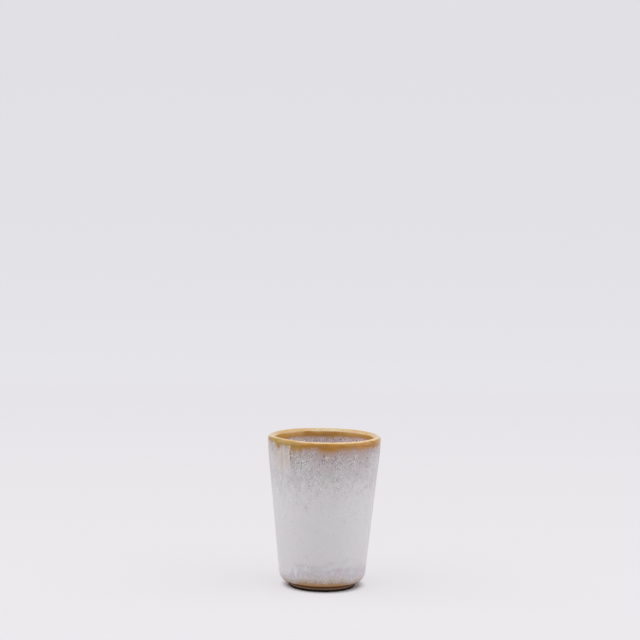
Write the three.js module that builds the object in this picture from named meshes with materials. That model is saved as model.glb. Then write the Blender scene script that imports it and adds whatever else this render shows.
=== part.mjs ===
// Espresso cup without a handle: a tapered stoneware beaker on a low turned foot ring.
// The fired clay carries a honey glaze all over, except for the wiped foot. A white glaze lies on the
// honey one outside, and another inside. Both whites have run down from the lip, so their upper
// edges are uneven and the honey glaze shows above them as a band round the lip.
// Millimetres and degrees, +Z up. The origin is on the table, at the middle of the foot ring.
// The angle round the cup is 0 at the front (-Y) and grows towards the right (+X).
import * as THREE from 'three';

// Finished cup
const cupHeight = 73.5; // table to the top of the glazed lip
const rimDiameter = 55; // across the glazed lip
const wallTaper = 5.9; // lean of the wall away from the vertical

// Fired clay
const wallThickness = 3;
const floorThickness = 4; // over the recess under the cup
const heelRadius = 6.4; // outside, where the wall turns under the cup
const heelRise = 1.2; // lowest point of that round above the table
const wellRadius = 5.5; // inside, where the wall meets the floor
const footDiameter = 32.6;
const footRingWidth = 3.4;
const footEase = 0.4; // chamfer on the edges of the foot ring and of its recess
const recessDepth = 1.2;

// Glaze coats
const bondGap = 0.04; // drawing clearance between a coat and what it is fused to
const honeyThickness = 0.25;
const honeyTurn = 45; // how far round the heel it goes before the wiped edge
const whiteThickness = 0.22;
const whiteRoll = 0.34; // thickness where the outer white has gathered above the heel
const whiteRollLength = 9; // length of wall over which it thickens
const whiteClear = 0.3; // lower edge of the outer white above the heel's round
const featherThickness = 0.1; // thickness of a white coat at its upper edge
const featherLength = 4; // length of wall over which it thins
const outerBand = 2.7; // honey band below the top of the lip, outside
const innerBand = 3.2; // and inside

// Runs: where an upper edge of white lies lower (plus) or reaches higher (minus) than its band
const outerRuns = [
  { at: -68, width: 4, drop: 0.5 },
  { at: -51, width: 4, drop: 2.4 },
  { at: -45, width: 3.5, drop: -1.1 },
  { at: -31, width: 11, drop: 2.1 },
  { at: -10, width: 6, drop: -1.0 },
  { at: 6, width: 10, drop: 2.2 },
  { at: 62, width: 12, drop: 0.6 },
  { at: 104, width: 7, drop: 2.3 },
  { at: 127, width: 9, drop: -0.7 },
  { at: 151, width: 6, drop: 1.9 },
  { at: 186, width: 12, drop: 1.5 },
  { at: 214, width: 6, drop: -0.8 },
  { at: 236, width: 8, drop: 2.5 },
  { at: 268, width: 9, drop: 1.1 },
];
const innerRuns = [
  { at: 24, width: 14, drop: 1.4 },
  { at: 75, width: 10, drop: -0.6 },
  { at: 118, width: 13, drop: 1.2 },
  { at: 172, width: 16, drop: 0.8 },
  { at: 226, width: 12, drop: 1.6 },
  { at: 291, width: 15, drop: 1.0 },
];

// Facets
const facets = 64; // round the clay, the honey coat and the inner white
const runFacets = 3 * facets; // round the outer white, whose runs are narrow
const lipSteps = 3; // on each side of the lip's top
const wellSteps = 5;
const beadSteps = 3; // round the rolled edge of a coat
const heelStep = 7; // degrees of the heel's round for each facet

const lean = THREE.MathUtils.degToRad(wallTaper);
const downWall = new THREE.Vector2(-Math.sin(lean), -Math.cos(lean));
const outOfWall = new THREE.Vector2(Math.cos(lean), -Math.sin(lean));

// Distances of the coats' faces from the clay
const honeyInside = bondGap;
const honeyOutside = honeyInside + honeyThickness;
const whiteInside = honeyOutside + bondGap;
const whiteOutside = whiteInside + whiteThickness;
const rollOutside = whiteInside + whiteRoll;
const featherOutside = whiteInside + featherThickness;

// Centres of the three rounds in the section. The wall touches all three.
const lipRadius = wallThickness / 2;
const glazedLip = lipRadius + honeyOutside;
const lipCentre = new THREE.Vector2(rimDiameter / 2 - glazedLip, cupHeight - glazedLip);
const floorHeight = recessDepth + floorThickness;
const heelCentre = besideWall(lipRadius - heelRadius, heelRise + heelRadius);
const wellCentre = besideWall(-lipRadius - wellRadius, floorHeight + wellRadius);

// The point at a height on the line along the wall that lies `out` from the wall's middle
function besideWall(out, height) {
  const start = lipCentre.clone().addScaledVector(outOfWall, out);
  return start.addScaledVector(downWall, (start.y - height) / Math.cos(lean));
}

// The point on that line that lies `depth` down the wall from the top of the lip
function wallPoint(out, depth) {
  const start = lipCentre.clone().addScaledVector(outOfWall, out);
  return start.addScaledVector(downWall, depth - glazedLip);
}

function arc(centre, radius, from, to, steps) {
  const curve = new THREE.EllipseCurve(centre.x, centre.y, radius, radius, from, to, to < from);
  return curve.getPoints(steps);
}

// The rounds at a distance from the clay, drawn from the heel over the lip to the floor
function heelArc(off, turn) {
  const steps = Math.max(1, Math.round((turn - lean) / THREE.MathUtils.degToRad(heelStep)));
  return arc(heelCentre, heelRadius + off, -turn, -lean, steps);
}

function lipArc(off) {
  const top = Math.PI / 2;
  return [
    ...arc(lipCentre, lipRadius + off, -lean, top, lipSteps),
    ...arc(lipCentre, lipRadius + off, top, Math.PI - lean, lipSteps).slice(1),
  ];
}

function wellArc(off) {
  return arc(wellCentre, wellRadius - off, -lean, -Math.PI / 2, wellSteps);
}

function floorMiddle(off) {
  return new THREE.Vector2(0, floorHeight + off);
}

// The rolled lower edge of a coat, from its inside face round to its outside face
function bead(middle, thickness, turn) {
  return arc(middle, thickness / 2, -turn - Math.PI, -turn, beadSteps);
}

// How far the runs move an upper edge down the wall at an angle round the cup
function runDrop(runs, angle) {
  return runs.reduce((drop, run) => {
    const away = THREE.MathUtils.euclideanModulo(angle - run.at + 180, 360) - 180;
    return drop + run.drop * Math.exp(-((away / run.width) ** 2));
  }, 0);
}

// Turns a section round the axis and stands it up along +Z
function revolve(section, count) {
  return new THREE.LatheGeometry(section, count).rotateX(Math.PI / 2);
}

// The same, with some points of the section moved down the wall by the runs
function revolveWithRuns(section, moving, runs, count) {
  const geometry = new THREE.LatheGeometry(section, count);
  const place = geometry.getAttribute('position');
  for (let turn = 0; turn <= count; turn++) {
    const drop = runDrop(runs, (360 * turn) / count);
    const around = (2 * Math.PI * turn) / count;
    for (const index of moving) {
      const point = section[index].clone().addScaledVector(downWall, drop);
      place.setXYZ(
        turn * section.length + index,
        point.x * Math.sin(around),
        point.y,
        point.x * Math.cos(around),
      );
    }
  }
  return geometry.rotateX(Math.PI / 2);
}

function piece(name, geometry, color, roughness) {
  const material = new THREE.MeshStandardMaterial({ color, roughness, metalness: 0 });
  const mesh = new THREE.Mesh(geometry, material);
  mesh.name = name;
  return mesh;
}

// Clay: recessed underside, foot ring, heel, wall, full-round lip, inner wall, well and floor
function stonewareBody() {
  const footRadius = footDiameter / 2;
  const recessRadius = footRadius - footRingWidth;
  const footMeetsHeel = Math.acos((footRadius - heelCentre.x) / heelRadius);
  const section = [
    new THREE.Vector2(0, recessDepth),
    new THREE.Vector2(recessRadius - footEase, recessDepth),
    new THREE.Vector2(recessRadius, recessDepth - footEase),
    new THREE.Vector2(recessRadius, footEase),
    new THREE.Vector2(recessRadius + footEase, 0),
    new THREE.Vector2(footRadius - footEase, 0),
    new THREE.Vector2(footRadius, footEase),
    ...heelArc(0, footMeetsHeel),
    ...lipArc(0),
    ...wellArc(0),
    floorMiddle(0),
  ];
  return piece('stoneware_body', revolve(section, facets), 0x7a5a42, 0.85);
}

// Honey glaze: one skin from the floor inside, over the lip and down to the wiped heel
function honeyGlaze() {
  const turn = THREE.MathUtils.degToRad(honeyTurn);
  const skin = (off) => [...heelArc(off, turn), ...lipArc(off), ...wellArc(off), floorMiddle(off)];
  const reach = heelRadius + (honeyInside + honeyOutside) / 2;
  const edge = new THREE.Vector2(Math.cos(turn), -Math.sin(turn)).multiplyScalar(reach).add(heelCentre);
  const section = [
    ...skin(honeyInside).reverse(),
    ...bead(edge, honeyThickness, turn).slice(1, -1),
    ...skin(honeyOutside),
  ];
  return piece('honey_glaze', revolve(section, facets), 0xa8763a, 0.2);
}

// Outer white: thin at its upper edge, gathered into a roll above the heel
function outerWhiteGlaze() {
  const heelDepth = heelCentre.clone().sub(lipCentre).dot(downWall) + glazedLip;
  const edgeDepth = heelDepth - whiteClear - whiteRoll / 2;
  const edge = wallPoint(lipRadius + whiteInside + whiteRoll / 2, edgeDepth);
  const top = wallPoint(lipRadius + whiteInside, outerBand);
  const section = [
    top,
    ...bead(edge, whiteRoll, lean),
    wallPoint(lipRadius + whiteOutside, edgeDepth - whiteRollLength),
    wallPoint(lipRadius + whiteOutside, outerBand + featherLength),
    wallPoint(lipRadius + featherOutside, outerBand),
    top,
  ];
  const last = section.length - 1;
  const moving = [0, last - 2, last - 1, last];
  const geometry = revolveWithRuns(section, moving, outerRuns, runFacets);
  return piece('outer_white_glaze', geometry, 0xcbc7cb, 0.45);
}

// Inner white: lines the cup from its uneven upper edge to the middle of the floor
function innerWhiteGlaze() {
  const section = [
    floorMiddle(whiteInside),
    ...wellArc(whiteInside).reverse(),
    wallPoint(-lipRadius - whiteInside, innerBand),
    wallPoint(-lipRadius - featherOutside, innerBand),
    wallPoint(-lipRadius - whiteOutside, innerBand + featherLength),
    ...wellArc(whiteOutside),
    floorMiddle(whiteOutside),
  ];
  const edge = wellSteps + 2;
  const geometry = revolveWithRuns(section, [edge, edge + 1, edge + 2], innerRuns, facets);
  return piece('inner_white_glaze', geometry, 0xb3a7aa, 0.4);
}

const cup = new THREE.Group();
cup.name = 'espresso_cup';
cup.add(stonewareBody(), honeyGlaze(), outerWhiteGlaze(), innerWhiteGlaze());

export default cup;
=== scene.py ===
import math

import bmesh
import bpy
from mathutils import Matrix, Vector, noise


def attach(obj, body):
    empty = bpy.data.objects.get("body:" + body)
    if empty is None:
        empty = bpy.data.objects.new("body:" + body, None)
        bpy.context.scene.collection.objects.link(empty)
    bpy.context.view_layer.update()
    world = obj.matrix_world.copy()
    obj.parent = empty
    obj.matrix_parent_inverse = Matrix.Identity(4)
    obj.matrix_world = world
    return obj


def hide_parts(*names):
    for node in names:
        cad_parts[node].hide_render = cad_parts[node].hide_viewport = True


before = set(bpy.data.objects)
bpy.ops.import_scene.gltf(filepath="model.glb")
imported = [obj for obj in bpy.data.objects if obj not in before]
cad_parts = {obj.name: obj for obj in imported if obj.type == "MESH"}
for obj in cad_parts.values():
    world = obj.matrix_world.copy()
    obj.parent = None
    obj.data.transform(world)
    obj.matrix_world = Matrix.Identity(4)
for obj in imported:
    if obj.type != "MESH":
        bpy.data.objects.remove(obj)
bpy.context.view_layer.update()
mm = 0.001
wallRadius = 26  # mm, near the middle of the wall, for what is measured round it
bpy.context.scene.view_settings.view_transform = "Standard"

# the turned form that all the pieces share, in mm
cupForm = {
    "height": 73.5,
    "rimRadius": 27.5,
    "taper": 5.9,  # degrees
    "clayWall": 3.0,
    "heelRadius": 6.4,
    "heelRise": 1.2,
    "wellRadius": 5.5,
    "floorTop": 5.2,
    "honeyIn": 0.04,  # faces of the coats, measured out from the clay
    "honeyOut": 0.29,
    "whiteIn": 0.25,  # the whites have melted a little way into the honey coat
    "whiteOut": 0.55,
}

lean = math.radians(cupForm["taper"])
downWall = Vector((-math.sin(lean), -math.cos(lean)))
outOfWall = Vector((math.cos(lean), -math.sin(lean)))
lipRadius = cupForm["clayWall"] / 2
glazedLip = lipRadius + cupForm["honeyOut"]
lipCentre = Vector((cupForm["rimRadius"] - glazedLip, cupForm["height"] - glazedLip))


def besideWall(out, height):
    # point at a height on the line along the wall, out from the middle of the wall
    start = lipCentre + outOfWall * out
    return start + downWall * ((start.y - height) / math.cos(lean))


def wallPoint(out, depth):
    # the same line, by depth down the wall from the top of the lip
    return lipCentre + outOfWall * out + downWall * (depth - glazedLip)


heelCentre = besideWall(
    lipRadius - cupForm["heelRadius"], cupForm["heelRise"] + cupForm["heelRadius"])
wellCentre = besideWall(
    -lipRadius - cupForm["wellRadius"], cupForm["floorTop"] + cupForm["wellRadius"])
heelDepth = (heelCentre - lipCentre).dot(downWall) + glazedLip


def heelPoint(under, out):
    # point round the heel, by its angle below level
    return heelCentre + Vector((math.cos(under), -math.sin(under))) * (cupForm["heelRadius"] + out)


# drawing a section in the XZ plane and turning it, as on a wheel

def startAt(bm, point):
    return bm.verts.new((point.x * mm, 0, point.y * mm))


def drawLine(bm, vert, end, cuts):
    step = (Vector((end.x * mm, 0, end.y * mm)) - vert.co) / cuts
    for cut in range(cuts):
        vert = bmesh.ops.extrude_vert_indiv(bm, verts=[vert])["verts"][0]
        bmesh.ops.translate(bm, verts=[vert], vec=step)
    return vert


def drawArc(bm, vert, centre, turn, steps):
    made = bmesh.ops.spin(
        bm, geom=[vert], cent=(centre.x * mm, 0, centre.y * mm), axis=(0, -1, 0),
        angle=turn, steps=steps, use_merge=False, use_duplicate=False)
    return spunVert(made)


def spunVert(made):
    return [item for item in made["geom_last"] if isinstance(item, bmesh.types.BMVert)][0]


def turnSection(bm, steps):
    # an eighth of the turn first, then seven copies of it, which is much quicker
    bmesh.ops.spin(
        bm, geom=bm.verts[:] + bm.edges[:], cent=(0, 0, 0), axis=(0, 0, 1),
        angle=math.pi / 4, steps=steps // 8, use_merge=False, use_duplicate=False)
    bmesh.ops.spin(
        bm, geom=bm.verts[:] + bm.edges[:] + bm.faces[:], cent=(0, 0, 0), axis=(0, 0, 1),
        angle=math.pi * 7 / 4, steps=7, use_merge=False, use_duplicate=True)
    bmesh.ops.remove_doubles(bm, verts=bm.verts, dist=0.002 * mm)
    bmesh.ops.recalc_face_normals(bm, faces=bm.faces)


def around(co):
    # degrees from the front of the cup, growing to the right
    return math.degrees(math.atan2(co.x, -co.y))


def onWall(co, side):
    # a vertex as depth down the wall and distance out from the clay; side is 1 outside, -1 inside
    point = Vector((math.hypot(co.x, co.y) / mm, co.z / mm))
    place = point - lipCentre
    depth = place.dot(downWall) + glazedLip
    if side == 1 and depth > heelDepth:
        place = point - heelCentre
        turn = math.atan2(-place.y, place.x) - lean
        return heelDepth + turn * cupForm["heelRadius"], place.length - cupForm["heelRadius"]
    return depth, side * place.dot(outOfWall) - lipRadius


def toWall(angle, depth, out, side):
    # the way back, at an angle round the cup
    if side == 1 and depth > heelDepth:
        under = lean + (depth - heelDepth) / cupForm["heelRadius"]
        point = heelPoint(under, out)
    elif depth < glazedLip:
        # curved over the lip
        over = (glazedLip - depth) / glazedLip
        away = outOfWall * side * math.cos(over) - downWall * math.sin(over)
        point = lipCentre + away * (lipRadius + out)
    else:
        point = wallPoint(side * (lipRadius + out), depth)
    turn = math.radians(angle)
    return Vector((point.x * math.sin(turn), -point.x * math.cos(turn), point.y)) * mm


def wallNoise(angle, depth, wide, tall, seed):
    # noise that follows the wall; wide and tall are the size of its spots in mm
    turn = math.radians(angle)
    radius = wallRadius / wide
    return noise.noise(Vector((
        radius * math.sin(turn), radius * math.cos(turn), depth / tall + seed)))


def smooth(low, high, value):
    part = min(1, max(0, (value - low) / (high - low)))
    return part * part * (3 - 2 * part)


def runShape(runs, angle):
    # sum of the runs at an angle: flat in the middle of each, soft at its sides
    drop = 0
    for run in runs:
        away = abs((angle - run["at"] + 180) % 360 - 180)
        drop += run["drop"] * smooth(run["half"] + run["soft"], run["half"], away)
    return drop


def addLayers(bm, *names):
    # values on the vertices, which the materials read
    return [bm.verts.layers.float.new(name) for name in names]


def finishPiece(bm, name, material, node):
    mesh = bpy.data.meshes.new(name)
    bm.to_mesh(mesh)
    bm.free()
    mesh.polygons.foreach_set("use_smooth", [True] * len(mesh.polygons))
    mesh.materials.append(material)
    piece = bpy.data.objects.new(name, mesh)
    bpy.context.collection.objects.link(piece)
    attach(piece, "root")
    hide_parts(node)
    print(name, len(mesh.vertices), "vertices")


# materials

def linear(hexText):
    channels = [int(hexText[i:i + 2], 16) / 255 for i in (1, 3, 5)]
    return [c / 12.92 if c <= 0.04045 else ((c + 0.055) / 1.055) ** 2.4 for c in channels] + [1]


def addNode(tree, kind, sockets=None, stops=None, **settings):
    node = tree.nodes.new("ShaderNode" + kind)
    for name, value in settings.items():
        setattr(node, name, value)
    for key, value in (sockets or {}).items():
        if isinstance(value, bpy.types.Node):
            # a node stands for its main output: the third of a mix or an attribute, else the first
            value = value.outputs[2 if value.type in ("MIX", "ATTRIBUTE") else 0]
        if isinstance(value, bpy.types.NodeSocket):
            tree.links.new(value, node.inputs[key])
        else:
            node.inputs[key].default_value = value
    for index, (place, colour) in enumerate(stops or []):
        elements = node.color_ramp.elements
        stop = elements[index] if index < 2 else elements.new(place)
        stop.position = place
        stop.color = linear(colour)
    return node


def newMaterial(name):
    material = bpy.data.materials.new(name)
    material.use_nodes = True
    material.node_tree.nodes.clear()
    return material, material.node_tree


bareClay = {
    "body": "#8C6B54",
    "dark": "#684B39",
    "grog": "#A3856C",
    "underEdgeDark": "#5A3511",  # darker band on the clay just below the wiped edge of the glaze
    "paintedFootShade": "#120806",  # painted shade: near black low on the foot ring, where it stands in shadow on the table
    "paintedShadeTop": 1.25,  # mm above the table
    "paintedShadeSoft": 0.35,
    "grogSize": 0.5,  # mm
    "iron": "#3B281C",
    "ironSize": 1.4,  # mm between iron spots
}


def bareStonewareMaterial():
    # Iron-bearing stoneware, turned and fired bare: dry, brown, with pale grog and a few iron
    # spots, and painted shade low on the foot ring
    material, tree = newMaterial("bareFiredStoneware")
    place = addNode(tree, "TexCoord").outputs["Object"]
    grog = addNode(tree, "TexNoise", {
        "Vector": place, "Scale": 1 / (bareClay["grogSize"] * mm), "Detail": 4, "Roughness": 0.65})
    tone = addNode(tree, "ValToRGB", {"Fac": grog}, stops=[
        (0.3, bareClay["dark"]), (0.75, bareClay["grog"]), (0.52, bareClay["body"])])
    iron = addNode(tree, "TexVoronoi", {"Vector": place, "Scale": 1 / (bareClay["ironSize"] * mm)})
    spots = addNode(tree, "MapRange", {
        "Value": iron, "From Min": 0.1, "From Max": 0.22, "To Min": 0.7, "To Max": 0})
    underEdgeDark = addNode(tree, "Attribute", attribute_name="underEdgeDark")
    paintedFootShade = addNode(tree, "Attribute", attribute_name="paintedFootShade")
    colour = tone
    # iron spots, the darker band below the glaze edge, and painted shade on the foot ring
    for mark, amount in (("iron", spots), ("underEdgeDark", underEdgeDark), ("paintedFootShade", paintedFootShade)):
        colour = addNode(tree, "Mix", {
            0: amount, 6: colour, 7: linear(bareClay[mark])}, data_type="RGBA")
    grain = addNode(tree, "Bump", {"Height": grog, "Strength": 0.5, "Distance": 0.08 * mm})
    shader = addNode(tree, "BsdfPrincipled", {
        "Base Color": colour, "Roughness": 0.85, "Specular IOR Level": 0.15, "Normal": grain})
    addNode(tree, "OutputMaterial", {"Surface": shader})
    return material


honeyTones = {
    "body": "#A36F1E",
    "thick": "#8B5B14",
    "olive": "#98782D",  # where it lies thinner over the wall
    "gold": "#BB8A41",  # thinner still, beside the pale line of the lip
    "thin": "#DCC9A6",  # where it breaks thin over the edge of the lip, paled further as a painted highlight along the crest
    "film": "#B8A981",  # the same where it is olive
    "worn": "#AE8452",  # rubbed thin round the heel, and faintly above the liner
    "gathered": "#4C2C06",  # darkest at the wiped edge: thick glaze there, darkened further with painted shade under the heel
    "poolSize": 5.0,  # mm
    "waveSize": 3.0,  # mm
    "oliveSides": [  # angles round the cup
        {"at": -48, "half": 16, "soft": 18, "drop": 0.9},
        {"at": 70, "half": 12, "soft": 20, "drop": 0.15},
        {"at": 160, "half": 16, "soft": 24, "drop": 0.6},
        {"at": 245, "half": 10, "soft": 20, "drop": 0.6},
    ],
}


def honeyColour(tree, place):
    # shared with the white, whose thin edge lets this colour through
    pools = addNode(tree, "TexNoise", {
        "Vector": place, "Scale": 1 / (honeyTones["poolSize"] * mm),
        "Detail": 3, "Roughness": 0.55})
    tone = addNode(tree, "ValToRGB", {"Fac": pools}, stops=[
        (0.32, honeyTones["thick"]), (0.6, honeyTones["body"])])
    olive = addNode(tree, "Attribute", attribute_name="olive")
    turned = addNode(tree, "Mix", {
        0: olive, 6: tone, 7: linear(honeyTones["olive"])}, data_type="RGBA")
    thin = addNode(tree, "Attribute", attribute_name="thinned")
    first = addNode(tree, "MapRange", {"Value": thin, "From Max": 0.5})
    second = addNode(tree, "MapRange", {"Value": thin, "From Min": 0.4})
    golden = addNode(tree, "Mix", {
        0: first, 6: turned, 7: linear(honeyTones["gold"])}, data_type="RGBA")
    edge = addNode(tree, "Mix", {
        0: olive, 6: linear(honeyTones["thin"]), 7: linear(honeyTones["film"])}, data_type="RGBA")
    broken = addNode(tree, "Mix", {0: second, 6: golden, 7: edge}, data_type="RGBA")
    roll = addNode(tree, "Attribute", attribute_name="gathered")
    heel = addNode(tree, "MapRange", {"Value": roll, "From Max": 0.5})
    low = addNode(tree, "ValToRGB", {"Fac": roll}, stops=[
        (0.5, honeyTones["worn"]), (1.0, honeyTones["gathered"])])
    return addNode(tree, "Mix", {0: heel, 6: broken, 7: low}, data_type="RGBA")


def honeyGlazeMaterial():
    # Honey-amber glaze, dipped and fired glossy: darker where it pools, paler over the lip, with a
    # painted highlight along its crest
    material, tree = newMaterial("honeyAmberGlaze")
    place = addNode(tree, "TexCoord").outputs["Object"]
    waves = addNode(tree, "TexNoise", {
        "Vector": place, "Scale": 1 / (honeyTones["waveSize"] * mm), "Detail": 2})
    flow = addNode(tree, "Bump", {"Height": waves, "Strength": 0.6, "Distance": 0.1 * mm})
    roll = addNode(tree, "Attribute", attribute_name="gathered")
    dry = addNode(tree, "MapRange", {"Value": roll, "To Min": 0.14, "To Max": 0.6})
    shader = addNode(tree, "BsdfPrincipled", {
        "Base Color": honeyColour(tree, place), "Roughness": dry, "IOR": 1.5, "Normal": flow})
    addNode(tree, "OutputMaterial", {"Surface": shader})
    return material


whiteTones = {
    "runLength": 30.0,  # mm from the upper edge to full white
    "lowLength": 15.0,  # mm from the lower edge to clear white
    "scatter": 1.5,  # mm that the grain loosens the upper edge
    "lowScatter": 5.5,  # and the lower one
    "cover": [  # how far the white hides the honey along that length, 0.8 at full white
        (0.0, "#000000"), (1.0, "#E7E7E7"), (0.05, "#595959"), (0.11, "#7C7C7C"), (0.21, "#949494"),
        (0.28, "#AEAEAE"), (0.4, "#BFBFBF"), (0.57, "#D0D0D0"), (0.7, "#DDDDDD")],
    "tones": [  # from the thinnest white to the thickest
        (0.0, "#A37F5E"), (1.0, "#DAD7D9"), (0.1, "#A38A7A"), (0.2, "#A59593"), (0.3, "#A8A0A0"),
        (0.45, "#B2ABAD"), (0.64, "#BCB9BB"), (0.8, "#C7C5C7")],
    "linerPaintedLightTones": [  # the same inside, pinker, and painted lighter to stand in for light that falls short inside the cup
        (0.0, "#AB825A"), (1.0, "#DAD7D9"), (0.09, "#AB9082"), (0.2, "#B8A7A9"), (0.4, "#BBADB1"),
        (0.8, "#C7C5C7")],
    "lowTints": [  # from the lower edge: worn tan, clear, a greyer belt, clear again
        (0.0, "#D2B69A"), (1.0, "#FFFFFF"), (0.058, "#E3CFBE"), (0.095, "#E4D6C7"),
        (0.133, "#E5DBD2"), (0.167, "#EEE4DD"), (0.203, "#F2EAE8"), (0.3, "#F2EBF0"),
        (0.37, "#EAE4E8"), (0.47, "#F0EEEF"), (0.65, "#FBFBFB")],
    "noises": {  # size is mm across, and a low value of along draws the pattern out down the wall
        "streaks": {"size": 2.2, "along": 0.7, "detail": 2, "roughness": 0.6},
        # coarser than real, to show
        "grain": {"size": 0.34, "along": 0.8, "detail": 1, "roughness": 0.5},
        "patches": {"size": 4.5, "along": 0.8, "detail": 2, "roughness": 0.6},  # of heavier grain
        "threads": {"size": 0.9, "along": 0.12, "detail": 1, "roughness": 0.5},  # in a run
    },
    "fleckSpacing": 1.2,  # mm
    "pinholeSpacing": 3.0,  # mm
    "tintSize": 11.0,  # mm
    "waveSize": 5.0,  # mm
    "marks": {
        "pinholeShade": "#6E625F", "warm": "#B5A696", "cool": "#CAD2D4", "beadAndGlint": "#E6D5BA",
        "iron": "#4E3826"},
}


def whiteGlazeMaterial(name, tones, contrast):
    # White reactive glaze, melted into the honey one: satin, streaked and grained towards its edges
    material, tree = newMaterial(name)
    place = addNode(tree, "TexCoord").outputs["Object"]
    depth, rise, iron, beadAndGlint, cool, warm = [
        addNode(tree, "Attribute", attribute_name=label)
        for label in ("runDepth", "heelRise", "iron", "beadAndGlint", "cool", "warm")]
    noises = {}
    for label, form in whiteTones["noises"].items():
        along = addNode(tree, "Mapping", {"Vector": place, "Scale": (1, 1, form["along"])})
        noises[label] = addNode(tree, "TexNoise", {
            "Vector": along, "Scale": 1 / (form["size"] * mm),
            "Detail": form["detail"], "Roughness": form["roughness"]})
    grainPart = addNode(tree, "Math", {0: noises["grain"], 1: 0.5}, operation="SUBTRACT")

    # depth below the upper edge, pulled about by the streaks and the grain
    pull = addNode(tree, "MapRange", {
        "Value": noises["streaks"], "From Min": 0.25, "From Max": 0.75,
        "To Min": 0.65, "To Max": 1.35})
    pulled = addNode(tree, "Math", {0: depth, 1: pull}, operation="MULTIPLY")
    patchy = addNode(tree, "MapRange", {
        "Value": noises["patches"], "From Min": 0.36, "From Max": 0.62,
        "To Min": 0.35, "To Max": 1.45})
    settled = addNode(tree, "MapRange", {
        "Value": depth, "From Min": 1.0, "From Max": 4.0, "To Min": 0.25, "To Max": 1.0})
    gritty = addNode(tree, "Math", {0: grainPart, 1: settled}, operation="MULTIPLY")
    grit = addNode(tree, "Math", {0: gritty, 1: patchy}, operation="MULTIPLY")
    grained = addNode(tree, "Math", {
        0: gritty, 1: whiteTones["scatter"], 2: pulled}, operation="MULTIPLY_ADD")
    run = addNode(tree, "Math", {0: grained, 1: whiteTones["runLength"]}, operation="DIVIDE")
    cover = addNode(tree, "ValToRGB", {"Fac": run}, stops=whiteTones["cover"])

    # the lower edge thins out in the same way
    loose = addNode(tree, "Math", {
        0: grainPart, 1: whiteTones["lowScatter"], 2: rise}, operation="MULTIPLY_ADD")
    lower = addNode(tree, "Math", {0: loose, 1: whiteTones["lowLength"]}, operation="DIVIDE")
    lowTint = addNode(tree, "ValToRGB", {"Fac": lower}, stops=whiteTones["lowTints"])
    speckle = addNode(tree, "MapRange", {
        "Value": cover, "From Min": 0.3, "From Max": 0.8, "To Min": 0.2, "To Max": 0.08})
    mixed = addNode(tree, "Math", {0: grit, 1: speckle, 2: cover}, operation="MULTIPLY_ADD")
    tone = addNode(tree, "ValToRGB", {"Fac": mixed}, stops=tones)

    # honey showing through both edges
    through = addNode(tree, "ValToRGB", {"Fac": run}, stops=[
        (0.0, "#FFFFFF"), (0.07, "#000000"), (0.012, "#CBCBCB"), (0.035, "#7C7C7C")])
    throughLow = addNode(tree, "ValToRGB", {"Fac": lower}, stops=[
        (0.0, "#888888"), (0.055, "#000000"), (0.03, "#444444")])
    amber = addNode(tree, "Math", {0: through, 1: throughLow}, operation="MAXIMUM")
    dots = addNode(tree, "MapRange", {
        "Value": cover, "From Min": 0.35, "From Max": 0.76, "To Min": contrast, "To Max": 0.07})
    dotsLow = addNode(tree, "MapRange", {
        "Value": lower, "From Min": 0.05, "From Max": 0.4, "To Min": 1.4, "To Max": 0.07})
    dotsMost = addNode(tree, "Math", {0: dots, 1: dotsLow}, operation="MAXIMUM")
    # light and dark flecks: grain of the glaze, and painted light and shade standing in for its
    # orange-peel dimples
    flecksAndDimpleShade = addNode(tree, "TexVoronoi", {
        "Vector": addNode(tree, "Mapping", {"Vector": place, "Scale": (1, 1, 0.75)}),
        "Scale": 1 / (whiteTones["fleckSpacing"] * mm)})
    fleckSign = addNode(tree, "MapRange", {
        "Value": addNode(tree, "SeparateColor", {"Color": flecksAndDimpleShade.outputs["Color"]}),
        "To Min": -0.45, "To Max": 0.48})
    fleckSize = addNode(tree, "MapRange", {
        "Value": flecksAndDimpleShade, "From Min": 0.22, "From Max": 0.34,
        "To Min": 1, "To Max": 0}, interpolation_type="SMOOTHSTEP")
    fleckShape = addNode(tree, "Math", {0: fleckSize, 1: fleckSign}, operation="MULTIPLY")
    fleckPatch = addNode(tree, "Math", {0: fleckShape, 1: patchy}, operation="MULTIPLY")
    fleckPart = addNode(tree, "Math", {0: fleckPatch, 1: settled}, operation="MULTIPLY")
    threadPart = addNode(tree, "MapRange", {
        "Value": noises["threads"], "From Min": 0.25, "From Max": 0.75,
        "To Min": -0.022, "To Max": 0.022})
    grainThread = addNode(tree, "Math", {0: grit, 1: threadPart}, operation="ADD")
    grainShade = addNode(tree, "Math", {
        0: grainThread, 1: dotsMost, 2: 1.0}, operation="MULTIPLY_ADD")
    halfRun = addNode(tree, "Math", {0: run, 1: 2.0}, operation="DIVIDE")
    fleckAmount = addNode(tree, "ValToRGB", {"Fac": halfRun}, stops=[
        (0.125, "#EAEAEA"), (0.95, "#505050"), (0.35, "#B5B5B5"), (0.5, "#8B8B8B"),
        (0.7, "#818181")])
    pooled = addNode(tree, "ValToRGB", {"Fac": lower}, stops=[
        (0.1, "#000000"), (0.8, "#000000"), (0.2, "#FFFFFF"), (0.5, "#DDDDDD")])
    fleckLow = addNode(tree, "Math", {0: pooled, 1: 0.3}, operation="MULTIPLY")
    fleckMost = addNode(tree, "Math", {0: fleckAmount, 1: fleckLow}, operation="MAXIMUM")
    flecked = addNode(tree, "Math", {
        0: fleckPart, 1: fleckMost, 2: grainShade}, operation="MULTIPLY_ADD")
    runLight = addNode(tree, "MapRange", {
        "Value": noises["streaks"], "From Min": 0.3, "From Max": 0.7,
        "To Min": -0.05, "To Max": 0.05})
    shade = addNode(tree, "Math", {0: runLight, 1: pooled, 2: flecked}, operation="MULTIPLY_ADD")
    dotted = addNode(tree, "HueSaturation", {"Color": tone, "Value": shade})
    melted = addNode(tree, "Mix", {
        0: amber, 6: dotted, 7: honeyColour(tree, place)}, data_type="RGBA")
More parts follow.
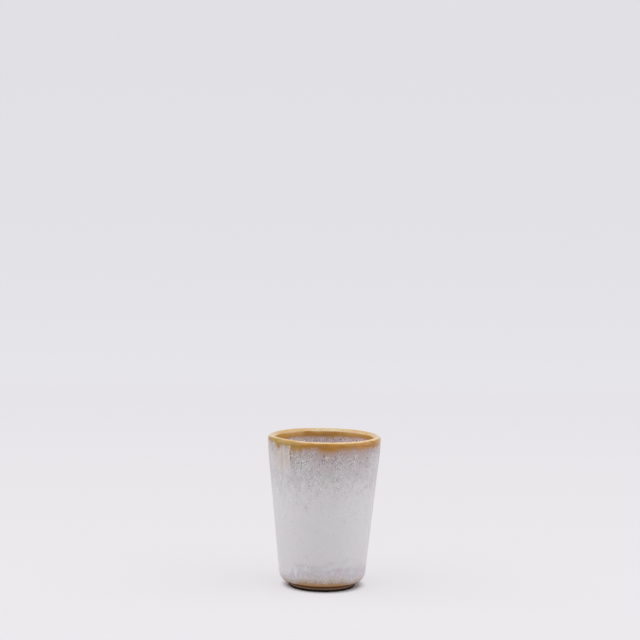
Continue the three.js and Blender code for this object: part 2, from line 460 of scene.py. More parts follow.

    # faint lilac and grey-green drifts, pinholes darkened with painted shade, and the marks of each
    # kind
    drift = addNode(tree, "TexNoise", {
        "Vector": place, "Scale": 1 / (whiteTones["tintSize"] * mm),
        "Detail": 4, "Roughness": 0.65})
    tint = addNode(tree, "ValToRGB", {"Fac": drift}, stops=[
        (0.36, "#F8FCF8"), (0.64, "#FCF9FD"), (0.5, "#FCFBFC")])
    driftPart = addNode(tree, "MapRange", {
        "Value": cover, "From Min": 0.45, "From Max": 0.75, "To Min": 1.0, "To Max": 0.3})
    drifted = addNode(tree, "Mix", {
        0: driftPart, 6: melted, 7: tint}, data_type="RGBA", blend_type="MULTIPLY")
    tinted = addNode(tree, "Mix", {
        0: 1.0, 6: drifted, 7: lowTint}, data_type="RGBA", blend_type="MULTIPLY")
    holes = addNode(tree, "TexVoronoi", {
        "Vector": place, "Scale": 1 / (whiteTones["pinholeSpacing"] * mm)})
    pinholes = addNode(tree, "MapRange", {
        "Value": holes, "From Min": 0.06, "From Max": 0.11, "To Min": 1, "To Max": 0})
    holeKind = addNode(tree, "SeparateColor", {"Color": holes.outputs["Color"]})
    holeDepth = addNode(tree, "MapRange", {
        "Value": holeKind.outputs["Green"], "From Min": 0.35, "To Max": 0.65})
    pierced = addNode(tree, "Math", {0: pinholes, 1: holeDepth}, operation="MULTIPLY")
    ironGrain = addNode(tree, "MapRange", {
        "Value": noises["grain"], "From Min": 0.45, "From Max": 0.65, "To Min": 1, "To Max": 0.3})
    ironPart = addNode(tree, "Math", {0: iron, 1: ironGrain}, operation="MULTIPLY")
    colour = tinted
    # the cream marks are a painted glint on the raised beads
    for mark, amount in (
            ("pinholeShade", pierced), ("warm", warm), ("cool", cool), ("beadAndGlint", beadAndGlint),
            ("iron", ironPart)):
        colour = addNode(tree, "Mix", {
            0: amount, 6: colour, 7: linear(whiteTones["marks"][mark])}, data_type="RGBA")

    # satin where thick, glossier where it has melted away; slow waves, grain and pinholes on them
    satin = addNode(tree, "MapRange", {
        "Value": cover, "From Max": 0.5, "To Min": 0.16, "To Max": 0.42})
    waves = addNode(tree, "TexNoise", {
        "Vector": place, "Scale": 1 / (whiteTones["waveSize"] * mm), "Detail": 2})
    rough = addNode(tree, "Math", {0: grainPart, 1: 0.12, 2: waves}, operation="MULTIPLY_ADD")
    pitted = addNode(tree, "Math", {0: pierced, 1: -0.5, 2: rough}, operation="MULTIPLY_ADD")
    surface = addNode(tree, "Bump", {"Height": pitted, "Strength": 0.6, "Distance": 0.12 * mm})
    shader = addNode(tree, "BsdfPrincipled", {
        "Base Color": colour, "Roughness": satin, "IOR": 1.5, "Normal": surface})
    addNode(tree, "OutputMaterial", {"Surface": shader})
    return material


# clay: foot ring, heel, wall, lip, well and floor in one

stonewareBody = {
    "footRadius": 16.3,
    "footWidth": 3.4,
    "footEase": 0.4,
    "recess": 1.2,
    "ringSpacing": 1.7,  # turning rings left by the tool under the foot
    "ringDepth": 0.06,
    "glazeEdge": 43.0,  # degrees round the heel, where the glaze was wiped and the clay below turns darker
    "underEdgeDark": 0.9,
    "underEdgeNear": 4.0,  # degrees over which it comes in before that edge
    "underEdgeFull": 11.0,  # and past it, where it starts to fade and has faded
    "underEdgeFar": 17.0,
    "heelTop": 8.0,  # mm above the table
    "turns": 256,
}


def makeStonewareBody():
    form = stonewareBody
    foot, ease = form["footRadius"], form["footEase"]
    inner = foot - form["footWidth"]
    bm = bmesh.new()
    vert = startAt(bm, Vector((0, form["recess"])))
    vert = drawLine(bm, vert, Vector((inner - ease, form["recess"])), 60)
    vert = drawArc(bm, vert, Vector((inner - ease, form["recess"] - ease)), -math.pi / 2, 4)
    vert = drawLine(bm, vert, Vector((inner, ease)), 2)
    vert = drawArc(bm, vert, Vector((inner + ease, ease)), math.pi / 2, 4)
    vert = drawLine(bm, vert, Vector((foot - ease, 0)), 8)
    vert = drawArc(bm, vert, Vector((foot - ease, ease)), math.pi / 2, 4)
    meets = math.acos((foot - heelCentre.x) / cupForm["heelRadius"])
    vert = drawLine(bm, vert, heelPoint(meets, 0), 8)
    vert = drawArc(bm, vert, heelCentre, meets - lean, 24)
    vert = drawLine(bm, vert, lipCentre + outOfWall * lipRadius, 12)
    vert = drawArc(bm, vert, lipCentre, math.pi, 12)
    vert = drawLine(bm, vert, wellCentre + outOfWall * cupForm["wellRadius"], 12)
    vert = drawArc(bm, vert, wellCentre, lean - math.pi / 2, 8)
    drawLine(bm, vert, Vector((0, cupForm["floorTop"])), 4)
    turnSection(bm, form["turns"])
    paintedFootShade, underEdgeDark = addLayers(bm, "paintedFootShade", "underEdgeDark")
    paintedShadeTop, edge = bareClay["paintedShadeTop"], form["glazeEdge"]
    for vert in bm.verts:
        radius, height = math.hypot(vert.co.x, vert.co.y) / mm, vert.co.z / mm
        # painted shade, darkest low on the outer edge of the foot ring, where it meets the table
        low = smooth(paintedShadeTop, paintedShadeTop - bareClay["paintedShadeSoft"], height)
        vert[paintedFootShade] = low * smooth(foot - 1, foot - 0.3, radius)
        if height < form["heelTop"] and radius > heelCentre.x:
            under = math.degrees(math.atan2(heelCentre.y - height, radius - heelCentre.x))
            faded = smooth(edge + form["underEdgeFar"], edge + form["underEdgeFull"], under)
            vert[underEdgeDark] = form["underEdgeDark"] * faded * smooth(edge - form["underEdgeNear"], edge, under)
        if radius < inner - ease and height < form["recess"] + ease:
            turn = math.radians(around(vert.co))
            groove = 0.5 - 0.5 * math.cos(2 * math.pi * radius / form["ringSpacing"] - turn)
            vert.co.z += form["ringDepth"] * mm * groove * smooth(0, 2, radius)
    finishPiece(bm, "stonewareBody", bareStonewareMaterial(), "stoneware_body")


# honey glaze: one skin from the floor inside over the lip to the wiped heel

honeyGlaze = {
    "turn": 43.0,  # degrees round the heel to the wiped edge
    "turns": 384,
    "thinOut": -48.0,  # degrees from the top of the lip where it breaks paler, minus outside
    "thinIn": 92.0,
    "softOut": 22.0,
    "softIn": 26.0,
    "wander": 9.0,
    "mottle": 0.4,
    "frontDull": 0.5,  # less pale in front, on the inner half of the lip
    "filmed": 0.85,  # how olive the film is at the sides and the back
    "frontShift": 8.0,  # the pale line, in part a painted highlight, lies further out on the front of the lip
    "narrowSides": [  # and further in again where the honey climbs the lip, degrees
        {"at": -54, "half": 12, "soft": 14, "drop": 10},
    ],
    "paleSides": [  # inside, where it has stayed thin below the lip
        {"at": -115, "half": 24, "soft": 26, "drop": 0.42},
        {"at": 118, "half": 22, "soft": 30, "drop": 0.36},
        {"at": 30, "half": 20, "soft": 20, "drop": 0.2},
    ],
    "paleDepth": 7.0,  # mm below the top of the lip
    "goldSides": [  # where it is a little thinner outside as well
        {"at": 82, "half": 14, "soft": 16, "drop": 0.2},
    ],
    "dullSides": [  # where it breaks less pale over the lip
        {"at": -140, "half": 14, "soft": 18, "drop": 0.3},
        {"at": 138, "half": 12, "soft": 16, "drop": 0.2},
        {"at": 10, "half": 50, "soft": 30, "drop": 0.16},
    ],
    "wipedLength": 1.6,  # mm of heel over which the sponge has thinned it
    "wipedThin": 0.75,
    "heelTop": 12.0,  # mm above the table
    "veil": 0.2,  # worn tone just above the liner
    "unevenLip": 0.05,
    "liftSides": [  # where the lip stands a little higher, mm
        {"at": -58, "half": 14, "soft": 24, "drop": 0.25},
    ],
}


def oliveAmount(angle, height):
    # shared with the white, so that the honey under its edge has the same colour
    amount = runShape(honeyTones["oliveSides"], angle) + 0.5 * wallNoise(angle, height, 3, 3, 1.4)
    return min(1, max(0, amount))


def makeHoneyGlaze():
    form = honeyGlaze
    stop = math.radians(form["turn"])
    end = heelDepth + cupForm["heelRadius"] * (stop - lean)
    bm = bmesh.new()
    hidden, seen = cupForm["honeyIn"], cupForm["honeyOut"]
    # the side on the clay, from the floor over the lip to the heel
    vert = startAt(bm, Vector((0, cupForm["floorTop"] + hidden)))
    vert = drawLine(bm, vert, Vector((wellCentre.x, cupForm["floorTop"] + hidden)), 6)
    vert = drawArc(bm, vert, wellCentre, math.pi / 2 - lean, 10)
    vert = drawLine(bm, vert, lipCentre - outOfWall * (lipRadius + hidden), 24)
    vert = drawArc(bm, vert, lipCentre, -math.pi, 28)
    vert = drawLine(bm, vert, heelCentre + outOfWall * (cupForm["heelRadius"] + hidden), 24)
    vert = drawArc(bm, vert, heelCentre, lean - stop, 14)
    # round the wiped edge, and back on the side that is seen
    vert = drawArc(bm, vert, heelPoint(stop, (hidden + seen) / 2), math.pi, 6)
    vert = drawArc(bm, vert, heelCentre, stop - lean, 14)
    vert = drawLine(bm, vert, lipCentre + outOfWall * (lipRadius + seen), 40)
    vert = drawArc(bm, vert, lipCentre, math.pi, 28)
    vert = drawLine(bm, vert, wellCentre + outOfWall * (cupForm["wellRadius"] - seen), 40)
    vert = drawArc(bm, vert, wellCentre, lean - math.pi / 2, 10)
    drawLine(bm, vert, Vector((0, cupForm["floorTop"] + seen)), 6)
    turnSection(bm, form["turns"])
    thinned, gathered, olive = addLayers(bm, "thinned", "gathered", "olive")
    for vert in bm.verts:
        angle = around(vert.co)
        radius, height = math.hypot(vert.co.x, vert.co.y) / mm, vert.co.z / mm
        drop = cupForm["height"] - height
        pale = runShape(form["paleSides"], angle)
        vert[olive] = oliveAmount(angle, height)
        if height > lipCentre.y - 1:
            # the lip, by the tilt of its surface from level
            tilt = math.degrees(math.atan2(lipCentre.x - radius, height - lipCentre.y))
            tilt += form["wander"] * wallNoise(angle, 0, 4, 1, 11.7)
            tilt += form["frontShift"] * smooth(150, 110, abs(angle))
            tilt -= runShape(form["narrowSides"], angle)
            front = smooth(110, 70, abs(angle))
            over = smooth(form["thinIn"], form["thinIn"] - form["softIn"], tilt)
            over *= 1 - form["frontDull"] * front * smooth(10, 26, tilt)
            over *= 1 - runShape(form["dullSides"], angle)
            mottled = 0.92 + form["mottle"] * wallNoise(angle, tilt / 15, 2.2, 1, 14.1)
            filmed = smooth(60, 48, tilt) * smooth(55, 95, abs(angle))
            vert[olive] = max(vert[olive] * smooth(60, 20, tilt), form["filmed"] * filmed)
            # thin glaze breaking pale, and a painted highlight along the crest
            vert[thinned] = smooth(form["thinOut"], form["thinOut"] + form["softOut"], tilt) * (
                pale + (1 - 1.6 * pale) * over * min(1, mottled))
            vert[thinned] = max(vert[thinned], runShape(form["goldSides"], angle))
            if height > lipCentre.y:
                lift = form["unevenLip"] * wallNoise(angle, 0, 9, 1, 2.9)
                lift += runShape(form["liftSides"], angle) / glazedLip
                vert.co.z += lift * mm * (height - lipCentre.y)
        elif radius < lipCentre.x - math.tan(lean) * (lipCentre.y - height):
            # inside
            vert[olive] = 0
            vert[gathered] = form["veil"] * smooth(2.5, 3.4, drop)
            uneven = wallNoise(angle, height, 2.5, 2.5, 9.3)
            vert[thinned] = pale * smooth(form["paleDepth"], 2.0, drop + uneven)
        elif height < form["heelTop"]:
            depth, out = onWall(vert.co, 1)
            vert[gathered] = 0.5 + 0.5 * smooth(end - 0.5, end - 0.1, depth)
            wiped = smooth(end - form["wipedLength"], end, depth)
            out = hidden + (out - hidden) * (1 - form["wipedThin"] * wiped)
            depth += 0.2 * wallNoise(angle, 0, 3, 1, 8.4) * wiped
            vert.co = toWall(angle, depth, out, 1)
    finishPiece(bm, "honeyGlaze", honeyGlazeMaterial(), "honey_glaze")


# outer white: feathered into the honey at its upper edge, worn to grains at its lower one

outerWhite = {
    "band": 2.1,  # honey left bare below the top of the lip
    "wrap": 24.5,  # degrees round the heel to its lower edge
    "roll": 0.3,
    "feather": 6.0,
    "edgeThick": 0.04,
    "fullThick": 0.26,  # more than at the edge
    "beadThick": 0.12,
    "lowThick": 0.35,  # part of the thickness left at the lower edge
    "unevenThick": 0.03,
    "topWander": 0.4,  # mm that noise moves the edges
    "topFray": 0.35,
    "lowWander": 0.3,
    "beltWander": 4.0,  # and the belt above the heel
    "thickDepth": 17.0,  # mm below the upper edge, down to where heavier white shows
    "fineDepth": 20.0,  # mm below it that are meshed finer
    "rippleAt": 5.0,  # mm above the lower edge, where the run has piled up
    "rippleThick": 0.1,
    "rippleWide": 1.3,
    "rippleWander": 1.2,
    "grain": 2.2,  # contrast of the grain where the white is thin
    "turns": 480,
    "runs": [
        {"at": -69, "half": 6, "soft": 4, "drop": -0.9},
        {"at": -67.5, "half": 0.6, "soft": 2, "drop": 0.6},
        {"at": -62, "half": 1, "soft": 2.5, "drop": -0.7},
        {"at": -53, "half": 1.0, "soft": 2.8, "drop": 2.0},
        {"at": -45.5, "half": 0.8, "soft": 3.2, "drop": -1.0},
        {"at": -30, "half": 4.5, "soft": 2.5, "drop": 1.2},
        {"at": -23.8, "half": 0.6, "soft": 1.6, "drop": 1.3},
        {"at": -17, "half": 3, "soft": 3, "drop": 0.3},
        {"at": -10, "half": 1, "soft": 6, "drop": -0.7},
        {"at": 4.5, "half": 3, "soft": 9, "drop": 1.15},
        {"at": 26, "half": 5, "soft": 6, "drop": 0.1},
        {"at": 48, "half": 6, "soft": 9, "drop": 0.4},
        {"at": 68, "half": 8, "soft": 8, "drop": 0.9},
        {"at": 104, "half": 3, "soft": 6, "drop": 2.1},
        {"at": 127, "half": 5, "soft": 7, "drop": -0.7},
        {"at": 151, "half": 2, "soft": 6, "drop": 1.9},
        {"at": 186, "half": 6, "soft": 9, "drop": 1.5},
        {"at": 214, "half": 2, "soft": 6, "drop": -0.8},
        {"at": 236, "half": 4, "soft": 6, "drop": 2.3},
        {"at": 268, "half": 5, "soft": 7, "drop": 1.1},
    ],
    "thick": [  # where the white is heavier, so that it turns opaque sooner
        {"at": -64, "half": 10, "soft": 5, "drop": 1.6},
        {"at": -52, "half": 1.5, "soft": 2, "drop": 1.9},
        {"at": -42, "half": 4, "soft": 2, "drop": 2.1},
        {"at": -22, "half": 5, "soft": 7, "drop": 0.5},
        {"at": 66, "half": 8, "soft": 10, "drop": 1.3},
        {"at": 120, "half": 6, "soft": 8, "drop": 1.3},
        {"at": 205, "half": 8, "soft": 8, "drop": 1.0},
        {"at": 250, "half": 4, "soft": 6, "drop": 1.5},
    ],
    "hang": [  # where the lower edge reaches further round the heel
        {"at": -62, "half": 20, "soft": 16, "drop": 1.7},
        {"at": 62, "half": 20, "soft": 16, "drop": 1.5},
        {"at": -88, "half": 14, "soft": 14, "drop": 1.0},
        {"at": 88, "half": 14, "soft": 14, "drop": 1.0},
        {"at": 140, "half": 14, "soft": 14, "drop": 0.6},
        {"at": 225, "half": 16, "soft": 14, "drop": 0.8},
    ],
    "clearSides": [  # where less of it has settled above the heel
        {"at": -78, "half": 20, "soft": 25, "drop": 6.0},
        {"at": 165, "half": 25, "soft": 20, "drop": 5.0},
    ],
    "iron": [  # streaks, each with the depth of its middle
        {"at": -35.2, "depth": 3.3, "wide": 0.5, "tall": 0.7, "amount": 0.5},
        {"at": -36.6, "depth": 5.2, "wide": 0.6, "tall": 0.7, "amount": 0.9},
        {"at": -36.6, "depth": 6.2, "wide": 0.7, "tall": 0.7, "amount": 1.0},
        {"at": -35.3, "depth": 6.3, "wide": 0.5, "tall": 0.5, "amount": 0.8},
        {"at": -36.0, "depth": 7.8, "wide": 0.6, "tall": 1.0, "amount": 0.8},
        {"at": -36.0, "depth": 10.0, "wide": 0.8, "tall": 2.5, "amount": 0.25},
        {"at": -0.2, "depth": 6.2, "wide": 0.6, "tall": 1.0, "amount": 0.8},
        {"at": 0.0, "depth": 8.4, "wide": 0.5, "tall": 1.0, "amount": 0.6},
        {"at": -64.0, "depth": 4.5, "wide": 0.7, "tall": 0.8, "amount": 0.8},
        {"at": -65.0, "depth": 5.6, "wide": 0.6, "tall": 0.7, "amount": 0.8},
        {"at": -41.4, "depth": 63.1, "wide": 0.6, "tall": 1.0, "amount": 0.4},
        {"at": -29.5, "depth": 62.5, "wide": 0.6, "tall": 0.9, "amount": 0.4},
        {"at": -18.6, "depth": 60.8, "wide": 0.5, "tall": 0.9, "amount": 0.35},
        {"at": 8.0, "depth": 63.2, "wide": 0.5, "tall": 0.8, "amount": 0.25},
        {"at": 20.0, "depth": 62.6, "wide": 0.5, "tall": 0.8, "amount": 0.3},
        {"at": 36.0, "depth": 62.8, "wide": 0.6, "tall": 1.2, "amount": 0.25},
        {"at": 112, "depth": 7.0, "wide": 1.2, "tall": 2.5, "amount": 1.0},
        {"at": 197, "depth": 6.8, "wide": 1.0, "tall": 2.2, "amount": 0.9},
        {"at": 243, "depth": 7.5, "wide": 1.3, "tall": 3.0, "amount": 1.0},
    ],
    "beadAndGlint": [  # raised beads, coloured cream as a painted glint
        {"at": -36.6, "depth": 2.5, "wide": 0.5, "tall": 0.8, "amount": 0.8},
        {"at": -34.3, "depth": 5.3, "wide": 0.45, "tall": 0.5, "amount": 0.7},
        {"at": -34.3, "depth": 6.9, "wide": 0.5, "tall": 0.6, "amount": 0.7},
        {"at": -38.0, "depth": 6.5, "wide": 0.6, "tall": 4.0, "amount": 0.4},
        {"at": -50.4, "depth": 5.6, "wide": 0.5, "tall": 2.0, "amount": 0.5},
        {"at": -59.5, "depth": 1.8, "wide": 0.6, "tall": 0.8, "amount": 0.6},
        {"at": 2.2, "depth": 6.9, "wide": 0.8, "tall": 1.0, "amount": 0.4},
        {"at": 110, "depth": 4.2, "wide": 0.6, "tall": 1.1, "amount": 0.7},
        {"at": 241, "depth": 4.6, "wide": 0.6, "tall": 1.1, "amount": 0.7},
    ],
    "cool": [  # drops of thicker white above the heel
        {"at": -36.5, "depth": 64.5, "wide": 1.2, "tall": 3.5, "amount": 0.55},
        {"at": -29.0, "depth": 65.2, "wide": 0.9, "tall": 2.6, "amount": 0.4},
        {"at": -21.5, "depth": 61.0, "wide": 0.5, "tall": 1.2, "amount": 0.5},
        {"at": 14.0, "depth": 63.6, "wide": 0.5, "tall": 1.0, "amount": 0.45},
        {"at": 28.0, "depth": 63.0, "wide": 0.6, "tall": 1.2, "amount": 0.4},
        {"at": 132, "depth": 64.5, "wide": 1.1, "tall": 3.0, "amount": 0.5},
        {"at": 220, "depth": 64.0, "wide": 1.2, "tall": 3.2, "amount": 0.5},
    ],
    "warm": [  # wider runs that have stayed warmer
        {"at": -40.5, "depth": 7.5, "wide": 2.6, "tall": 8.0, "amount": 0.6},
        {"at": -50.0, "depth": 9.5, "wide": 4.0, "tall": 10.0, "amount": 0.5},
        {"at": -59.0, "depth": 7.5, "wide": 2.6, "tall": 7.0, "amount": 0.4},
        {"at": -70.0, "depth": 8.5, "wide": 2.2, "tall": 7.5, "amount": 0.3},
        {"at": 96, "depth": 7.0, "wide": 2.6, "tall": 6.0, "amount": 0.5},
        {"at": 228, "depth": 7.0, "wide": 2.4, "tall": 6.0, "amount": 0.5},
    ],
}


def markAmount(marks, angle, depth):
    # strongest of the small upright marks at a place on the wall
    amount = 0
    for mark in marks:
        across = math.radians((angle - mark["at"] + 180) % 360 - 180) * wallRadius / mark["wide"]
        away = math.hypot(across, (depth - mark["depth"]) / mark["tall"])
        amount = max(amount, mark["amount"] * smooth(1, 0.3, away))
    return amount


def makeOuterWhite():
    form = outerWhite
    roll = form["roll"]
    inside = cupForm["whiteIn"]
    wrap = math.radians(form["wrap"])
    bottom = heelDepth + cupForm["heelRadius"] * (wrap - lean)
    bm = bmesh.new()
    start = startAt(bm, wallPoint(lipRadius + inside, form["band"]))
    vert = drawLine(bm, start, wallPoint(lipRadius + inside, heelDepth), 14)
    vert = drawArc(bm, vert, heelCentre, lean - wrap, 4)
    vert = drawArc(bm, vert, heelPoint(wrap, inside + roll / 2), math.pi, 6)
    vert = drawArc(bm, vert, heelCentre, wrap - lean, 5)
    fine = form["band"] + form["fineDepth"]
    vert = drawLine(bm, vert, wallPoint(lipRadius + inside + roll, fine), 76)
    vert = drawLine(bm, vert, wallPoint(lipRadius + inside + roll, form["band"]), 60)
    bm.edges.new((vert, start))
    turnSection(bm, form["turns"])
    runDepth, heelRise, olive, gathered = addLayers(bm, "runDepth", "heelRise", "olive", "gathered")
    marks = {name: bm.verts.layers.float.new(name) for name in ("iron", "beadAndGlint", "cool", "warm")}
    for vert in bm.verts:
        angle = around(vert.co)
        depth, out = onWall(vert.co, 1)
        top = form["band"] + runShape(form["runs"], angle)
        top += form["topWander"] * wallNoise(angle, 0, 1.8, 1, 3.1)
        top += form["topFray"] * wallNoise(angle, 0, 0.8, 1, 9.6)
        low = bottom + runShape(form["hang"], angle)
        low += form["lowWander"] * wallNoise(angle, 0, 1.2, 1, 6.6)
        part = (depth - form["band"]) / (bottom - form["band"])
        newDepth = top + (low - top) * part if part < 1 else low + depth - bottom
        below = max(0, newDepth - top)
        heavier = runShape(form["thick"], angle) * smooth(form["thickDepth"], 2, below)
        vert[runDepth] = below * (1 + heavier)
        rise = max(0, low - newDepth)
        belt = form["beltWander"] * wallNoise(angle, newDepth, 6, 2.2, 4.2)
        vert[heelRise] = rise + belt * smooth(2, 6, rise)
        vert[heelRise] += runShape(form["clearSides"], angle) * smooth(2, 5, rise)
        for name, layer in marks.items():
            vert[layer] = markAmount(form[name], angle, newDepth)
        vert[olive] = oliveAmount(angle, cupForm["height"] - newDepth)
        vert[gathered] = 0.5 * smooth(8, 4, rise)
        thickness = form["edgeThick"] + form["fullThick"] * smooth(0, form["feather"], below)
        thickness += form["beadThick"] * vert[marks["beadAndGlint"]]
        uneven = form["unevenThick"] * wallNoise(angle, newDepth, 3, 8, 7.7)
        thickness += uneven * smooth(0.5, 5, below)
        ripple = form["rippleAt"] + form["rippleWander"] * wallNoise(angle, 0, 9, 1, 12.2)
        piled = math.exp(-((rise - ripple) / form["rippleWide"]) ** 2)
        thickness += form["rippleThick"] * piled * (1 + wallNoise(angle, 0, 5, 1, 3.3))
        thickness *= form["lowThick"] + (1 - form["lowThick"]) * smooth(-0.2, 2.5, low - newDepth)
        out = inside + thickness * (out - inside) / roll
        vert.co = toWall(angle, newDepth, out, 1)
    glaze = whiteGlazeMaterial("whiteReactiveGlaze", whiteTones["tones"], form["grain"])
    finishPiece(bm, "outerWhiteGlaze", glaze, "outer_white_glaze")


# inner white: the same glaze poured and emptied, from its uneven edge to the middle of the floor

innerWhite = {
    "band": 3.1,
    "feather": 5.0,
    "edgeThick": 0.03,
    "fullThick": 0.27,
    "sooner": 1.2,  # it turns opaque sooner than outside
    "topWander": 0.35,
    "fineDepth": 20.0,
    "grain": 5.0,
    "turns": 320,
    "runs": [
        {"at": 24, "half": 9, "soft": 7, "drop": 1.0},
        {"at": 75, "half": 6, "soft": 6, "drop": -0.6},
        {"at": 120, "half": 14, "soft": 10, "drop": -0.5},
        {"at": 181, "half": 12, "soft": 9, "drop": 0.4},
        {"at": 205, "half": 5, "soft": 8, "drop": 0.3},
        {"at": 245, "half": 9, "soft": 17, "drop": 1.0},
        {"at": 291, "half": 10, "soft": 7, "drop": 0.7},
    ],
}


def makeInnerWhite():
    form = innerWhite
    inside, outside = cupForm["whiteIn"], cupForm["whiteOut"]
    bottom = (wellCentre - lipCentre).dot(downWall) + glazedLip
    bm = bmesh.new()
    vert = startAt(bm, Vector((0, cupForm["floorTop"] + inside)))
    vert = drawLine(bm, vert, Vector((wellCentre.x, cupForm["floorTop"] + inside)), 6)
    vert = drawArc(bm, vert, wellCentre, math.pi / 2 - lean, 10)
    vert = drawLine(bm, vert, wallPoint(-lipRadius - inside, form["band"]), 12)
    vert = drawLine(bm, vert, wallPoint(-lipRadius - outside, form["band"]), 1)
    fine = form["band"] + form["fineDepth"]
    vert = drawLine(bm, vert, wallPoint(-lipRadius - outside, fine), 60)
    vert = drawLine(bm, vert, wellCentre + outOfWall * (cupForm["wellRadius"] - outside), 50)
    vert = drawArc(bm, vert, wellCentre, lean - math.pi / 2, 16)
    drawLine(bm, vert, Vector((0, cupForm["floorTop"] + outside)), 12)
    turnSection(bm, form["turns"])
    runDepth, heelRise, olive = addLayers(bm, "runDepth", "heelRise", "olive")
    for vert in bm.verts:
        vert[heelRise] = whiteTones["runLength"]
        angle = around(vert.co)
        depth, out = onWall(vert.co, -1)
        if depth > bottom + 0.01:
            vert[runDepth] = whiteTones["runLength"]
            continue
        top = form["band"] + runShape(form["runs"], angle)
        top += form["topWander"] * wallNoise(angle, 0, 2, 1, 5.3)
        part = (depth - form["band"]) / (bottom - form["band"])
        newDepth = top + (bottom - top) * part
        below = max(0, newDepth - top)
        vert[runDepth] = form["sooner"] * below
        vert[olive] = oliveAmount(angle, cupForm["height"] - newDepth)
        thickness = form["edgeThick"] + form["fullThick"] * smooth(0, form["feather"], below)
        out = inside + thickness * (out - inside) / (outside - inside)
        vert.co = toWall(angle, newDepth, out, -1)
    glaze = whiteGlazeMaterial("whiteLinerGlaze", whiteTones["linerPaintedLightTones"], form["grain"])
    finishPiece(bm, "innerWhiteGlaze", glaze, "inner_white_glaze")


# stage: a pale seamless sweep, two side softboxes and one overhead

stage = {
    "floor": "#C9C7C9",
    "tones": [  # what the camera sees of the sweep, glowing as painted light, from the floor at the cup to its top, darker towards the top
        (0.0, "#EFECF0"), (0.95, "#E1E0E5"), (0.1, "#EDEAEE"), (0.27, "#E7E5EA"), (0.4, "#E6E5E9")],
    "toneLength": 3.0,  # m along the sweep
    "shadowPart": 0.3,  # how much of the floor's own light and shade shows round the cup
    "shadowFrom": 0.0165,  # m from the middle of the cup, all of it inside this
    "shadowTo": 0.02,
    "shadowShape": (0.945, 1.0, 0.0),  # wider at the sides than in front
    "shadowShift": (-0.0006, 0.0, 0.0),  # m, deeper on the right
    "fadeFrom": 0.1,  # m along the sweep
    "fadeTo": 1.1,
    "wide": 12.0,  # m
    "front": -3.0,
    "back": 1.6,
    "bend": 0.8,
    "high": 3.0,
}


def makeSweep():
    bm = bmesh.new()
    vert = bm.verts.new((-stage["wide"] / 2, stage["front"], 0))
    vert = bmesh.ops.extrude_vert_indiv(bm, verts=[vert])["verts"][0]
    bmesh.ops.translate(bm, verts=[vert], vec=(0, stage["back"] - stage["front"], 0))
    made = bmesh.ops.spin(
        bm, geom=[vert], cent=(-stage["wide"] / 2, stage["back"], stage["bend"]), axis=(1, 0, 0),
        angle=math.pi / 2, steps=24, use_merge=False, use_duplicate=False)
    vert = spunVert(made)
    vert = bmesh.ops.extrude_vert_indiv(bm, verts=[vert])["verts"][0]
    bmesh.ops.translate(bm, verts=[vert], vec=(0, 0, stage["high"]))
    made = bmesh.ops.extrude_edge_only(bm, edges=bm.edges[:])["geom"]
    bmesh.ops.translate(bm, verts=[item for item in made if isinstance(item, bmesh.types.BMVert)],
                        vec=(stage["wide"], 0, 0))
    bmesh.ops.recalc_face_normals(bm, faces=bm.faces)
    mesh = bpy.data.meshes.new("paperSweep")
    bm.to_mesh(mesh)
    bm.free()
    mesh.polygons.foreach_set("use_smooth", [True] * len(mesh.polygons))
    material, tree = newMaterial("seamlessPaper")
    ground = addNode(tree, "TexCoord").outputs["Object"]
    place = addNode(tree, "SeparateXYZ", {"Vector": ground})
    along = addNode(tree, "Math", {0: place.outputs["Y"], 1: place.outputs["Z"]}, operation="ADD")
    length = addNode(tree, "MapRange", {"Value": along, "From Max": stage["toneLength"]})
    tone = addNode(tree, "ValToRGB", {"Fac": length}, stops=stage["tones"])
    fade = addNode(tree, "MapRange", {
        "Value": along, "From Min": stage["fadeFrom"], "From Max": stage["fadeTo"],
        "To Min": 1 - stage["shadowPart"], "To Max": 1}, interpolation_type="SMOOTHSTEP")
    flat = addNode(tree, "VectorMath", {
        0: ground, 1: stage["shadowShape"], 2: stage["shadowShift"]}, operation="MULTIPLY_ADD")
    away = addNode(tree, "VectorMath", {0: flat}, operation="LENGTH")
    clear = addNode(tree, "MapRange", {
        "Value": away.outputs["Value"],
        "From Min": stage["shadowFrom"], "From Max": stage["shadowTo"]})
    ray = addNode(tree, "LightPath")
    mirrored = addNode(tree, "Math", {
        0: ray.outputs["Is Glossy Ray"],
        1: ray.outputs["Is Transmission Ray"]}, operation="MAXIMUM")
    seen = addNode(tree, "Math", {
        0: ray.outputs["Is Camera Ray"], 1: mirrored}, operation="MAXIMUM")
    lit = addNode(tree, "Math", {0: clear, 1: fade}, operation="MULTIPLY")
    part = addNode(tree, "Math", {0: seen, 1: lit}, operation="MULTIPLY")
    paper = addNode(tree, "BsdfDiffuse", {"Color": linear(stage["floor"])})
    # painted light: the sweep glows in these tones for camera and mirrored rays
    pale = addNode(tree, "Emission", {"Color": tone})
    shader = addNode(tree, "MixShader", {0: part, 1: paper, 2: pale})
    addNode(tree, "OutputMaterial", {"Surface": shader})
    mesh.materials.append(material)
    sweep = bpy.data.objects.new("paperSweep", mesh)
    bpy.context.collection.objects.link(sweep)
    print("paper sweep made")


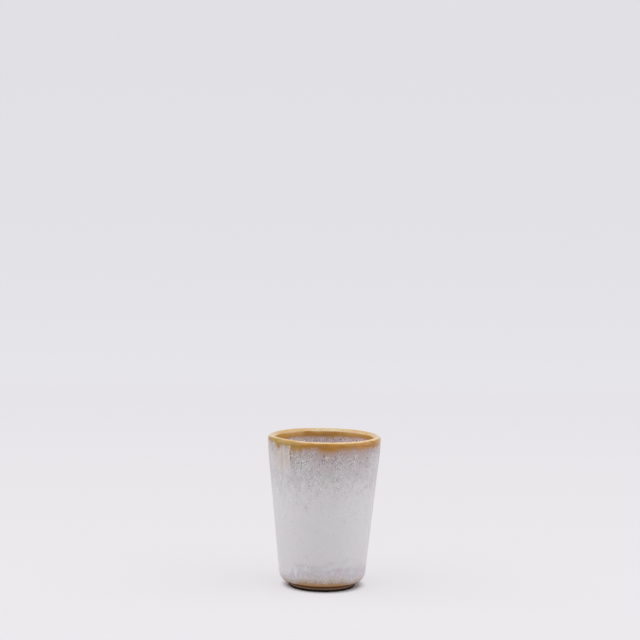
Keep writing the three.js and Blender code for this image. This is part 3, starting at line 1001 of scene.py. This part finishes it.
lamps = [
    {"name": "leftSoftbox", "at": (-1.1, -0.2, 0.6), "aim": (0, 0, 0.04),
     "size": (1.6, 1.8), "watts": 9},
    {"name": "rightSoftbox", "at": (1.1, -0.2, 0.6), "aim": (0, 0, 0.04),
     "size": (1.6, 1.8), "watts": 9},
    {"name": "overheadSoftbox", "at": (0, -0.1, 1.5), "aim": (0, 0, 0),
     "size": (2.0, 1.6), "watts": 7},
]

room = {
    "colour": "#F3F3F4",
    "bright": 1.05,  # beside and behind the cup
    "dim": 0.86,  # the room behind the camera
}


def makeLamps():
    for lamp in lamps:
        light = bpy.data.lights.new(lamp["name"], "AREA")
        light.shape = "RECTANGLE"
        light.size, light.size_y = lamp["size"]
        light.energy = lamp["watts"]
        holder = bpy.data.objects.new(lamp["name"], light)
        holder.location = lamp["at"]
        aim = Vector(lamp["aim"]) - Vector(lamp["at"])
        holder.rotation_euler = aim.to_track_quat("-Z", "Y").to_euler()
        bpy.context.collection.objects.link(holder)
    world = bpy.data.worlds.new("paleRoom")
    world.use_nodes = True
    tree = world.node_tree
    tree.nodes.clear()
    direction = addNode(tree, "SeparateXYZ", {
        "Vector": addNode(tree, "TexCoord").outputs["Generated"]})
    strength = addNode(tree, "MapRange", {
        "Value": direction.outputs["Y"], "From Min": -0.9, "From Max": -0.2,
        "To Min": room["dim"], "To Max": room["bright"]}, interpolation_type="SMOOTHSTEP")
    sky = addNode(tree, "Background", {"Color": linear(room["colour"]), "Strength": strength})
    addNode(tree, "OutputWorld", {"Surface": sky})
    bpy.context.scene.world = world
    print("lamps and room made")


viewpoint = {
    "at": (-3.11, -703.9, 171.1),  # mm
    "pitch": 3.38,  # degrees below level
    "roll": 0.97,
    "lens": 81.85,
}


def makeCamera():
    camera = bpy.data.objects.new("camera", bpy.data.cameras.new("camera"))
    camera.data.sensor_width = 36
    camera.data.lens = viewpoint["lens"]
    camera.location = Vector(viewpoint["at"]) * mm
    camera.rotation_mode = "ZYX"
    camera.rotation_euler = (
        math.radians(90 - viewpoint["pitch"]), 0, math.radians(viewpoint["roll"]))
    bpy.context.collection.objects.link(camera)
    bpy.context.scene.camera = camera


makeCamera()
makeStonewareBody()
makeHoneyGlaze()
makeOuterWhite()
makeInnerWhite()
makeSweep()
makeLamps()
